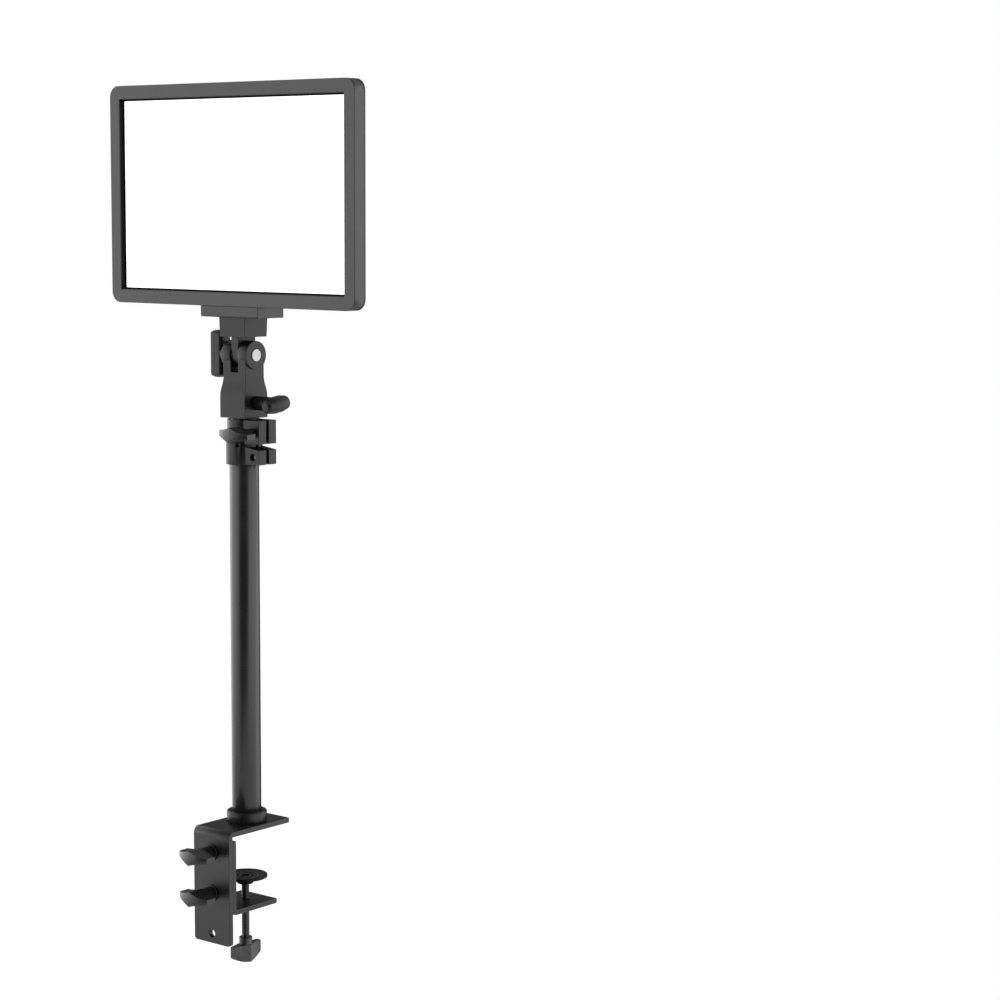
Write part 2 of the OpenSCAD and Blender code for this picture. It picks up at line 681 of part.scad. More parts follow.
module clamp_plate() color("dimgray") difference() {
    intersection() {
        side_slab(-plate_w / 2, plate_w / 2) translate([-plate_reach, plate_t]) mirror([0, 1])
            bent_strip(plate_drop + plate_t, plate_reach + plate_front, plate_t, bend_r);
        slab(-plate_reach - 1, plate_front + 1, 0, (plate_t - plate_drop) / 2)
            difference() {
                square([plate_w, plate_drop + plate_t], center = true);
                for (s = [-1, 1]) translate([s * plate_w / 2, -(plate_drop + plate_t) / 2]) difference() {
                    square(5, center = true);
                    translate([-s * 2.5, 2.5]) circle(2.5);
                }
            }
    }
    for (z = bolt_z) y_bar(hole_d, -plate_reach - 1, -plate_reach + plate_t + 1, 0, z);
    translate([0, 0, 0.3]) cylinder(d1 = 12, d2 = stud_d, h = 3);
    translate([0, 0, -1]) cylinder(d = 12, h = 1.3);
    translate([0, 0, 1]) cylinder(d = stud_d, h = plate_t);
}

module jaw_bracket() color("dimgray") difference() {
    side_slab(-plate_w / 2, plate_w / 2) translate([-plate_reach + plate_t, -jaw_floor - plate_t])
        bent_strip(jaw_floor + plate_t - leg_gap, plate_reach - plate_t + jaw_front, plate_t, 4);
    for (i = [0, 1]) y_bar(stud_d + 2 * play, -plate_reach, leg_y + 1, 0, bolt_z[i]);
    translate([0, screw_y, -jaw_floor - plate_t - 1]) cylinder(d = screw_d + 2 * play, h = plate_t + 2);
}

module bolt_washers() color("silver") for (i = [0, 1]) difference() {
    y_bar(13, -plate_reach - 1.2, -plate_reach, 0, bolt_z[i]);
    y_bar(hole_d, -plate_reach - 2, -plate_reach + 1, 0, bolt_z[i]);
}

// Wing bolt number i of the clamp, counted from the top
module clamp_wing_bolt(i) color("dimgray") translate([0, 0, bolt_z[i]])
    wing_bolt(-plate_reach - 1.3, stud_d, 15.3);

module clamp_screw() color("dimgray") translate([0, screw_y, -knob_drop - 8])
    cylinder(d = screw_d, h = knob_drop + 8 - pad_drop - 3);

module clamp_knob() color("dimgray") translate([0, screw_y, -knob_drop]) difference() {
    rotate([180, 0, 90]) wing(knob_hub);
    translate([0, 0, -8]) cylinder(d = screw_d, h = 9);
}

// Dished round pad with a conical back, on the tip of the clamp screw
module clamp_pad() color("dimgray") translate([0, screw_y, -pad_drop]) difference() {
    union() {
        translate([0, 0, -2]) cylinder(d = pad_d, h = 2);
        translate([0, 0, -5.4]) cylinder(d1 = 13, d2 = pad_d, h = 3.4);
        translate([0, 0, -7]) cylinder(d = 13, h = 1.7);
    }
    translate([0, 0, -2.2]) cylinder(d1 = 12, d2 = pad_d - 2.4, h = 2.3);
    translate([0, 0, -8]) cylinder(d = screw_d + 2 * play, h = 5.2);
}

front_bezel();
diffuser_sheet();
light_guide_plate();
reflector_sheet();
led_strip(1);  // led_strip_top
led_strip(-1);  // led_strip_bottom
color("gold") leds(0);  // warm_leds
color("lightyellow") leds(1);  // cool_leds
heat_spreader();
back_cover();
cover_screws();
control_housing();
housing_screws();
lcd_lens();
lcd_module();
control_board();
encoder(1);  // dimmer_encoder
encoder(-1);  // colour_encoder
encoder_shaft(1);  // dimmer_shaft
control_knob(1);  // dimmer_knob
encoder_shaft(-1);  // colour_shaft
control_knob(-1);  // colour_knob
power_housing();
dc_socket();
dc_socket_nut();
dc_socket_pin();
switch_body();
switch_rocker();
driver_board();
supply_wires();
tilt_block();
block_screws();
tilt_washers();
tilt_bolt();
tilt_knob();
clevis_body();
t_screw();
t_handle();
spigot();
inner_tube();
slider_bush();
outer_tube();
collar();
collar_nut();
collar_wing_bolt();
lug_screw();
base_flange();
tube_plug();
flange_screw();
clamp_plate();
jaw_bracket();
bolt_washers();
clamp_wing_bolt(0);  // upper_wing_bolt
clamp_wing_bolt(1);  // lower_wing_bolt
clamp_screw();
clamp_knob();
clamp_pad();
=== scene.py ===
"""LED panel light on a telescopic pole with a desk clamp: finishes, printing and small details round the CAD."""

import json
import math

import bpy
from mathutils import Matrix, Vector


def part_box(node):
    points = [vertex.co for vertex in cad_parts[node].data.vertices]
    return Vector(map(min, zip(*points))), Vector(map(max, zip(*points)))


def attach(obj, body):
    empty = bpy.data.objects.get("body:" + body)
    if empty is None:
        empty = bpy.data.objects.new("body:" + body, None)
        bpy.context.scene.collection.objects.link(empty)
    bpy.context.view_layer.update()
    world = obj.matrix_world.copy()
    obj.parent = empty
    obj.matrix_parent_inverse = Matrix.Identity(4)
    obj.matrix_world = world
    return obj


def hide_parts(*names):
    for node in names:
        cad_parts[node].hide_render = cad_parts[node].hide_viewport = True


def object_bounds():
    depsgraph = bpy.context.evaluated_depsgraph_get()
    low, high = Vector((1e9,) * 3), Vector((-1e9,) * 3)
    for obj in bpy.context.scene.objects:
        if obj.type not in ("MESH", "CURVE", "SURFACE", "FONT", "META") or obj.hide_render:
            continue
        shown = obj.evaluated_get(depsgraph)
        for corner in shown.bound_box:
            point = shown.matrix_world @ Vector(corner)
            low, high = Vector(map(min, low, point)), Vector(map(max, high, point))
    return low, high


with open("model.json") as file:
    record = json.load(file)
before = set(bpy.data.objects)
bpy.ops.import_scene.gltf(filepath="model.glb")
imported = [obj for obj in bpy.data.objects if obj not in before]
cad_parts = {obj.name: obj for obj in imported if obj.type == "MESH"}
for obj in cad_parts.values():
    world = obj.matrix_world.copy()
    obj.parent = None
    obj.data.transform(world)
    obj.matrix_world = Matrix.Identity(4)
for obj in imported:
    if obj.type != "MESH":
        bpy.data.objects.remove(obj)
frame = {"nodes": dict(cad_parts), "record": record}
cad_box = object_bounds()
nodes = frame["nodes"]
record = frame["record"]
MM = 0.001


# ---------- places and sizes, in millimetres ----------

def low(node):
    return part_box(node)[0] / MM


def high(node):
    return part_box(node)[1] / MM


def middle(node):
    return (low(node) + high(node)) / 2


control_y = high("control_housing").y
power_y = high("power_housing").y
cover_inside = low("back_cover").y
cover_low, cover_high = low("back_cover").z, high("back_cover").z
lens_at = middle("lcd_lens")
socket_at = middle("dc_socket_nut")
switch_at = middle("switch_body")
knob_at = {"dimmer": middle("dimmer_knob"), "colour": middle("colour_knob")}
SCREEN = (53.0, 27.0)
INK = 0.05  # height of printing over its face
SUNK = -0.02  # foot of printing, just inside its face
WINDOW_BORDER = 10.5  # from the bezel's outside to its window
PLATE = 4.0  # thickness of the clamp's plates
CORNERS = ((-1, -1), (1, -1), (1, 1), (-1, 1))


# ---------- finishes ----------

NOISE_RANGE = (0.3, 0.7)  # where nearly all values of a noise lie
FLAT, SHARP = 0.995, 0.8  # agreement of the softened normal with the true one, off an edge and on it
CLOUDS, RUBBED, TOOL_MARKS, SPOTS, GLOW_CLOUDS = 28, 3.5, 0.25, 9, 40  # grains of noise, in millimetres


class Graph:
    """A node tree with short ways to add and link nodes"""

    def __init__(self, tree):
        self.tree = tree

    def node(self, kind, inputs=None, **settings):
        made = self.tree.nodes.new("ShaderNode" + kind)
        for key, value in settings.items():
            setattr(made, key, value)
        for key, value in (inputs or {}).items():
            self.put(made.inputs[key], value)
        return made

    def put(self, socket, value):
        if isinstance(value, bpy.types.NodeSocket):
            self.tree.links.new(value, socket)
        else:
            socket.default_value = value

    def maths(self, operation, a, b=0.0):
        return self.node("Math", {0: a, 1: b}, operation=operation).outputs[0]

    def along(self, a, b):
        """How far two unit vectors agree, from -1 to 1"""
        return self.node("VectorMath", {0: a, 1: b}, operation="DOT_PRODUCT").outputs["Value"]

    def between(self, value, a, b, x, y, **settings):
        """value taken from the range a to b onto the range x to y, and held there"""
        ends = {"Value": value, "From Min": a, "From Max": b, "To Min": x, "To Max": y}
        return self.node("MapRange", ends, **settings).outputs["Result"]


class Finish(Graph):
    """One procedural material: a Principled shader with its own node tree"""

    def __init__(self, name):
        self.material = bpy.data.materials.new(name)
        self.material.use_nodes = True
        super().__init__(self.material.node_tree)
        self.shader = self.tree.nodes["Principled BSDF"]
        self.place = self.node("TexCoord").outputs["Object"]

    def set(self, **values):
        for key, value in values.items():
            self.put(self.shader.inputs[key.replace("_", " ")], value)

    def noise(self, size, detail=3.0, stretch=(1, 1, 1)):
        """Noise whose grain is about size millimetres"""
        at = self.place
        if stretch != (1, 1, 1):
            at = self.node("Mapping", {"Vector": at, "Scale": stretch}).outputs[0]
        return self.node("TexNoise", {"Vector": at, "Scale": 1 / (size * MM), "Detail": detail}).outputs[0]

    def spread(self, noise, x=0.0, y=1.0):
        """A noise stretched until it runs from x to y"""
        return self.between(noise, *NOISE_RANGE, x, y)

    def mix(self, share, a, b):
        """From colour a at share 0 to colour b at share 1; 6, 7 and 2 are the colour sockets of the Mix node"""
        made = self.node("Mix", {0: share}, data_type="RGBA")
        for socket, colour in ((6, a), (7, b)):
            self.put(made.inputs[socket], colour if isinstance(colour, bpy.types.NodeSocket) else (*colour, 1))
        return made.outputs[2]

    def bump(self, height, strength, distance, **more):
        """The normal of a surface roughened by a height, with the distance in millimetres"""
        settings = {"Height": height, "Strength": strength, "Distance": distance * MM, **more}
        return self.node("Bump", settings).outputs[0]

    def softened(self, radius):
        """The surface's normal with edges rounded off to a radius in millimetres"""
        return self.node("Bevel", {"Radius": radius * MM}, samples=6).outputs[0]

    def edges(self, radius=0.6):
        """1 on outer and inner edges, 0 on flat stretches"""
        turned = self.along(self.softened(radius), self.node("NewGeometry").outputs["Normal"])
        return self.between(turned, FLAT, SHARP, 0.0, 1.0)


def scaled(colour, factor):
    return tuple(c * factor for c in colour)


def surface(name, colour, rough, grain=0.4, strength=0.15, patch=0.05, wear=0.3, worn=None, metal=0.0, edge=0.3,
        **values):
    """A finish with fine grain, patchy gloss and soft edges that are rubbed lighter; grain and edge are in mm"""
    f = Finish(name)
    fine = f.noise(grain)
    clouds = f.noise(CLOUDS, 4)
    worn = worn or tuple(min(1, c * 1.6 + 0.03) for c in colour)
    rubbed = f.maths("MULTIPLY", f.edges(), f.between(f.noise(RUBBED), 0.42, 0.62, 0.0, wear))
    tone = f.mix(f.spread(clouds), scaled(colour, 0.9), scaled(colour, 1.1))
    f.set(Base_Color=f.mix(rubbed, tone, worn), Metallic=metal,
        Roughness=f.spread(clouds, rough - patch, rough + patch),
        Normal=f.bump(fine, strength, 0.1, Normal=f.softened(edge)), **values)
    return f


def machined(name, colour, rough, stretch, **values):
    """Bare metal with fine tool marks across the stretched direction"""
    f = Finish(name)
    marks = f.noise(TOOL_MARKS, 2, stretch)
    spots = f.noise(SPOTS, 3)
    rubbed = f.maths("MULTIPLY", f.edges(0.3), 0.4)
    tone = f.mix(f.spread(spots), scaled(colour, 0.92), colour)
    f.set(Base_Color=f.mix(rubbed, tone, scaled(colour, 1.2)), Metallic=1.0,
        Roughness=f.spread(marks, rough - 0.06, rough + 0.08), Normal=f.bump(marks, 0.12, 0.05), **values)
    return f


def glowing(name, colour, strength, base):
    """A lit surface with a faint unevenness"""
    f = Finish(name)
    cloud = f.spread(f.noise(GLOW_CLOUDS, 3))
    f.set(Base_Color=f.mix(cloud, scaled(base, 0.97), base), Roughness=f.between(cloud, 0, 1, 0.5, 0.56),
        Emission_Color=f.mix(cloud, scaled(colour, 0.97), colour), Emission_Strength=strength,
        Normal=f.bump(f.noise(0.5), 0.1, 0.05))
    return f


def circuit_board():
    """Green solder mask with copper tracks under it"""
    f = surface("circuit_board", (0.012, 0.11, 0.035), 0.35, wear=0.1)
    tracks = f.node("TexBrick", {"Vector": f.place, "Scale": 160.0, "Mortar Size": 0.035,
        "Color1": (0.01, 0.10, 0.03, 1), "Color2": (0.014, 0.13, 0.04, 1), "Mortar": (0.05, 0.25, 0.09, 1)})
    f.set(Base_Color=tracks.outputs[0])
    return f


def wire_jackets():
    """The supply wire nearer the panel is red and the other one black"""
    f = surface("wire_jackets", (0.02, 0.02, 0.02), 0.4, 0.3, 0.1)
    y = f.node("SeparateXYZ", {"Vector": f.place}).outputs["Y"]
    outer = f.maths("GREATER_THAN", y, middle("supply_wires").y * MM)
    f.set(Base_Color=f.mix(outer, (0.45, 0.015, 0.012), (0.015, 0.015, 0.015)))
    return f


FINISHES = {
    "frame_black": surface("frame_black", (0.009, 0.009, 0.010), 0.33, 0.35, 0.16, edge=1.1),
    "housing_black": surface("housing_black", (0.008, 0.008, 0.009), 0.42, 0.5, 0.35, edge=0.8),
    "knob_black": surface("knob_black", (0.008, 0.008, 0.009), 0.38, 0.4, 0.2, edge=0.5),
    "rocker_black": surface("rocker_black", (0.004, 0.004, 0.005), 0.30, 0.3, 0.08, Specular_IOR_Level=0.2),
    "component_black": surface("component_black", (0.004, 0.004, 0.005), 0.45, 0.4, 0.2,
        Specular_IOR_Level=0.12),
    "lens_black": surface("lens_black", (0.002, 0.002, 0.003), 0.22, 0.6, 0.02, patch=0.03, wear=0.1,
        Specular_IOR_Level=0.03),
    "head_black": surface("head_black", (0.006, 0.006, 0.007), 0.36, 0.6, 0.3, edge=0.8,
        Specular_IOR_Level=0.3),
    "tube_black": surface("tube_black", (0.008, 0.008, 0.009), 0.27, 0.3, 0.12),
    "plate_black": surface("plate_black", (0.005, 0.005, 0.006), 0.36, 0.55, 0.35, wear=0.5, edge=0.6,
        Specular_IOR_Level=0.36),
    "screw_black": surface("screw_black", (0.03, 0.03, 0.033), 0.38, 0.3, 0.15, metal=0.85, wear=0.7,
        worn=(0.30, 0.29, 0.28)),
    "wire_jacket": wire_jackets(),
    "board_green": circuit_board(),
    "nylon_white": surface("nylon_white", (0.72, 0.71, 0.67), 0.5, 0.5, 0.15, wear=0.1),
    "white_film": surface("white_film", (0.86, 0.86, 0.86), 0.6, 0.4, 0.1, wear=0.1),
    "led_board": surface("led_board", (0.75, 0.76, 0.74), 0.45, 0.4, 0.1, wear=0.1),
    "light_guide": surface("light_guide", (0.88, 0.92, 0.94), 0.06, 1.2, 0.05, patch=0.03, wear=0.1,
        Transmission_Weight=0.9, IOR=1.49),
    "aluminium": machined("aluminium", (0.62, 0.63, 0.64), 0.38, (1, 14, 14)),
    "zinc_steel": machined("zinc_steel", (0.58, 0.58, 0.56), 0.30, (14, 1, 14)),
    "bright_steel": machined("bright_steel", (0.34, 0.34, 0.337), 0.36, (9, 9, 1)),
    "warm_led": glowing("warm_led", (1.0, 0.62, 0.25), 2.0, (0.9, 0.65, 0.25)),
    "cool_led": glowing("cool_led", (0.85, 0.93, 1.0), 2.0, (0.9, 0.85, 0.6)),
    "diffuser": glowing("diffuser", (1.0, 1.0, 1.0), 1.15, (0.93, 0.93, 0.93)),
    "lcd_glass": glowing("lcd_glass", (0.36, 0.80, 1.0), 0.72, (0.20, 0.34, 0.40)),
}
PRINT = surface("white_print", (0.86, 0.86, 0.85), 0.5, 0.25, 0.1, wear=0.0)
LCD_INK = surface("lcd_ink", (0.010, 0.045, 0.20), 0.4, 0.3, 0.05, wear=0.0)
LCD_THIN = surface("lcd_thin_ink", (0.04, 0.20, 0.40), 0.4, 0.3, 0.05, wear=0.0)
# near-black sheet finish: painted shade seen through the vents
VENT_SHADE_FINISH = surface("vent_painted_shade", (0.006, 0.006, 0.006), 0.8, 0.7, 0.8, wear=0.0)
RUBBER = surface("rubber", (0.020, 0.020, 0.020), 0.55, 0.5, 0.4, wear=0.1)
# near-black and hardly glossy: painted shade on the walls and lip inside the light window
WINDOW_SHADE_FINISH = surface("window_wall_shade", (0.003, 0.003, 0.003), 0.7, 0.4, 0.2, wear=0.0, Specular_IOR_Level=0.1)

for part in record["subparts"]:
    mesh = nodes[part["node"]].data
    mesh.materials.clear()
    mesh.materials.append(FINISHES[part["material_slot"]].material)


# ---------- softer edges ----------

EDGE = {"front_bezel": 1.1, "back_cover": 0.2, "control_housing": 0.7, "power_housing": 0.4,
    "clevis_body": 0.6, "tilt_block": 0.5, "tilt_knob": 0.4, "clamp_plate": 0.45, "jaw_bracket": 0.45,
    "collar": 0.35, "base_flange": 0.35, "clamp_pad": 0.3, "switch_rocker": 0.35}
SMALL_EDGE = 0.15
CREASE = math.radians(32)  # a corner at least this sharp is an edge
SAME_POINT, SAME_FACE = 0.002, math.radians(0.4)

for name, cad in nodes.items():
    weld = cad.modifiers.new("weld", "WELD")
    weld.merge_threshold = SAME_POINT * MM
    flat = cad.modifiers.new("flat faces", "DECIMATE")
    flat.decimate_type = "DISSOLVE"
    flat.angle_limit = SAME_FACE
    round_off = cad.modifiers.new("round off", "BEVEL")
    round_off.width = EDGE.get(name, SMALL_EDGE) * MM
    round_off.segments = 2
    round_off.limit_method = "ANGLE"
    round_off.angle_limit = CREASE
    round_off.harden_normals = True


# ---------- making pieces ----------

def solid(name, points, faces, finish):
    """An object from points in millimetres"""
    mesh = bpy.data.meshes.new(name)
    mesh.from_pydata([Vector(p) * MM for p in points], [], faces)
    mesh.validate()
    mesh.materials.append(finish.material)
    made = bpy.data.objects.new(name, mesh)
    bpy.context.scene.collection.objects.link(made)
    return made


def piece(name, points, faces, finish, body, smooth=False):
    """A solid that moves with a CAD body"""
    made = solid(name, points, faces, finish)
    if smooth:
        made.data.shade_smooth()
        made.data.set_sharp_from_angle(angle=CREASE)
    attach(made, body)
    return made


def rear(x, y, z, tilt=0.0):
    """Carries a flat drawing (right, up, out) onto a face that looks toward +Y, tilted by degrees about X"""
    facing = Matrix(((-1, 0, 0), (0, 0, 1), (0, 1, 0))).to_4x4()
    return Matrix.Translation((x, y, z)) @ Matrix.Rotation(math.radians(tilt), 4, "X") @ facing


def moved(x, y, z=0.0):
    return Matrix.Translation((x, y, z))


def spun(degrees, axis="Z"):
    return Matrix.Rotation(math.radians(degrees), 4, axis)


def polar(radius, degrees):
    a = math.radians(degrees)
    return radius * math.cos(a), radius * math.sin(a)


def plate(name, outline, place, finish, body, thick=INK):
    """A flat outline (right, up) given a thickness"""
    n = len(outline)
    points = [place @ Vector((u, v, w)) for w in (SUNK, thick) for u, v in outline]
    faces = [list(range(n))[::-1], list(range(n, 2 * n))]
    faces += [(i, (i + 1) % n, n + (i + 1) % n, n + i) for i in range(n)]
    return piece(name, points, faces, finish, body)


def band(name, inner, outer, start, end, place, finish, body, thick=INK, bottom=SUNK, steps=48):
    """A ring, or the part of one from start to end in degrees, given a thickness"""
    whole = end - start >= 360
    n = steps if whole else steps + 1
    points = []
    for i in range(n):
        for r, w in ((inner, bottom), (outer, bottom), (outer, thick), (inner, thick)):
            points.append(place @ Vector((*polar(r, start + (end - start) * i / steps), w)))
    faces = []
    for i in range(n if whole else n - 1):
        j = (i + 1) % n
        faces += [(4 * i + k, 4 * i + (k + 1) % 4, 4 * j + (k + 1) % 4, 4 * j + k) for k in range(4)]
    if not whole:
        faces += [(3, 2, 1, 0), tuple(4 * (n - 1) + k for k in range(4))]
    return piece(name, points, faces, finish, body, smooth=True)


def dot(name, radius, place, finish, body):
    return plate(name, [polar(radius, 360 * i / 32) for i in range(32)], place, finish, body)


def bar(name, width, height, place, finish, body, thick=INK):
    outline = [(sx * width / 2, sy * height / 2) for sx, sy in CORNERS]
    return plate(name, outline, place, finish, body, thick)


def round_rectangle(width, height, radius, steps=6):
    """Outline of a rectangle with round corners"""
    made = []
    for quarter, (sx, sy) in enumerate(((1, 1), (-1, 1), (-1, -1), (1, -1))):
        for i in range(steps + 1):
            u, v = polar(radius, 90 * quarter + 90 * i / steps)
            made.append((sx * (width / 2 - radius) + u, sy * (height / 2 - radius) + v))
    return made


def lettering(name, text, height, width, place, finish, weight=0.03):
    """Words printed on the light, width by height, centred on place; weight makes the strokes bolder"""
    curve = bpy.data.curves.new(name, "FONT")
    curve.body = text
    curve.resolution_u = 3
    curve.extrude = 0.1  # only tells the two faces apart: their heights are set below
    curve.offset = weight
    shown = bpy.data.objects.new(name, curve)
    bpy.context.scene.collection.objects.link(shown)
    bpy.context.view_layer.update()
    cut = bpy.data.meshes.new_from_object(shown.evaluated_get(bpy.context.evaluated_depsgraph_get()))
    bpy.data.objects.remove(shown)
    bpy.data.curves.remove(curve)
    corners = [v.co for v in cut.vertices]
    x0, x1 = min(c.x for c in corners), max(c.x for c in corners)
    y0, y1 = min(c.y for c in corners), max(c.y for c in corners)
    points = []
    for c in corners:
        u = (c.x - (x0 + x1) / 2) * width / (x1 - x0)
        v = (c.y - (y0 + y1) / 2) * height / (y1 - y0)
        points.append(place @ Vector((u, v, INK if c.z > 0 else SUNK)))
    faces = [tuple(p.vertices) for p in cut.polygons]
    bpy.data.meshes.remove(cut)
    return piece(name, points, faces, finish, "light")


RISE, CREST, FALL = 0.38, 0.5, 0.88  # shares of a pitch at which a thread's flanks end, from its root


def thread(name, root, crest, pitch, length, place, body):
    """A threaded rod of black screw steel from the origin along +Z, carried to its place"""
    around = 24
    rows = []
    for i in range(int((length / pitch + 1) * around) + 1):
        lead = pitch * (i / around - 1)
        row = []
        for r, share in ((root, 0.0), (crest, RISE), (crest, CREST), (root, FALL)):
            z = lead + share * pitch
            if not 0 < z < length:
                r, z = root, min(max(z, 0.0), length)
            row.append(place @ Vector((*polar(r, 360 * i / around), z)))
        rows.append(row)
    points = [p for row in rows for p in row]
    faces = []
    for i in range(len(rows) - 1):
        first, second = 4 * i, 4 * (i + 1)
        faces += [(first + k, second + k, second + k + 1, first + k + 1) for k in range(3)]
        if i + around < len(rows):
            turn_on = (first + 3, second + 3, 4 * (i + 1 + around), 4 * (i + around))
            faces.append(turn_on if i + 1 + around < len(rows) else (*turn_on[:2], turn_on[3]))
    for z in (0.0, length):
        ring = list(range(len(points), len(points) + around))
        points += [place @ Vector((*polar(root, 360 * k / around), z)) for k in range(around)]
        faces.append(ring[::-1] if z == 0 else ring)
    return piece(name, points, faces, FINISHES["screw_black"], body, smooth=True)


# ---------- front of the light ----------

def window_shade_layer(name, y0, y1, outer, inner):
    """A dark layer inside the light window from y0 to y1, between two distances from the window's walls; it is
    painted shade in the window's recess
    """
    centre = middle("front_bezel")
    half = (high("front_bezel") - low("front_bezel")) / 2
    w, h = half.x - WINDOW_BORDER, half.z - WINDOW_BORDER
    points = [(sx * (w - t), y, centre.z + sz * (h - t)) for y in (y0, y1) for t in (outer, inner)
        for sx, sz in CORNERS]
    faces = []
    for k in range(4):
        m = (k + 1) % 4
        faces += [(k, m, 8 + m, 8 + k), (4 + k, 12 + k, 12 + m, 4 + m)]
        faces += [(k, 4 + k, 4 + m, m), (8 + k, 8 + m, 12 + m, 12 + k)]
    piece(name, points, faces, WINDOW_SHADE_FINISH, "light")


# a dark layer on the window's walls and a dark lip at its foot: painted shade in the recess round the diffuser
SHADE_LAYER_THICK, SHADE_LIP_WIDTH, SHADE_LIP_DEPTH = 0.15, 1.3, 0.3
MOUTH_GAP, FOOT_GAP = 0.5, 0.05  # from the bezel's face, and from the diffuser
window_mouth = low("front_bezel").y + MOUTH_GAP
window_foot = low("diffuser_sheet").y - FOOT_GAP
window_shade_layer("window_wall_shade", window_mouth, window_foot, 0.0, SHADE_LAYER_THICK)
window_shade_layer("window_lip_shade", window_foot - SHADE_LIP_DEPTH, window_foot, SHADE_LAYER_THICK, SHADE_LAYER_THICK + SHADE_LIP_WIDTH)


# ---------- rear of the light: printing ----------

THIN_STROKE = 0.015
ARC_RADII, ARC_ENDS = (16.7, 17.9), (33, 147)
SIGN_RING = (1.75, 2.3)
LABEL_UP = 19.3  # labels of a knob, over its centre
POLARITY_ACROSS, POLARITY_DOWN = 7.0, 13.4  # signs beside the centre dot, and dot under the socket
LABEL_DOWN = 7.2  # labels of socket and switch, under the polarity signs


def knob_print(side, left, right):
    """The arc over a control knob, with a word at each of its ends"""
    x, z = knob_at[side].x, knob_at[side].z
    band(side + "_arc", *ARC_RADII, *ARC_ENDS, rear(x, control_y, z), PRINT, "light")
    for end, (word, across, width) in (("low", left), ("high", right)):
        place = rear(x + across, control_y, z + LABEL_UP)
        lettering(side + "_" + end + "_label", word, 3.0, width, place, PRINT, THIN_STROKE)


def socket_print():
    """Minus, dot and plus in a row under the socket, and the labels of socket and switch"""
    x, z = socket_at.x, socket_at.z - POLARITY_DOWN
    for sign, across in (("minus", POLARITY_ACROSS), ("plus", -POLARITY_ACROSS)):
        spot = rear(x + across, power_y, z)
        band("polarity_" + sign + "_ring", *SIGN_RING, 0, 360, spot, PRINT, "light")
        bar("polarity_" + sign + "_bar", 2.0, 0.5, spot, PRINT, "light")
        bar("polarity_" + sign + "_link", 3.0, 0.6, rear(x + across / 2, power_y, z), PRINT, "light")
    bar("polarity_plus_stem", 0.5, 2.0, rear(x - POLARITY_ACROSS, power_y, z), PRINT, "light")
    dot("polarity_centre", 2.2, rear(x, power_y, z), PRINT, "light")
    lettering("socket_label", "DC 15V", 3.1, 12.2, rear(x - 1.0, power_y, z - LABEL_DOWN), PRINT)
    lettering("switch_label", "ON / OFF", 3.1, 16.4, rear(switch_at.x, power_y, z - LABEL_DOWN), PRINT)


knob_print("dimmer", ("LIGHT", 12.6, 10.0), ("MAX", -14.2, 8.2))
knob_print("colour", ("2800K", 11.6, 11.3), ("8800K", -11.8, 11.3))
lettering("maker_line", "LED VIDEO LIGHT", 4.0, 49, rear(0, control_y, knob_at["dimmer"].z - 1), PRINT)
socket_print()


# ---------- rear of the light: display ----------

SCREEN_DEPTH = 0.45  # face of the screen over the foot of the lens
SCREEN_OVERLAP = 0.4  # how much wider the screen is than the opening over it
LENS_CORNER, SCREEN_CORNER, LENS_CHAMFER = 2.0, 0.8, 0.15
SMALL_RING = (1.2, 1.5)


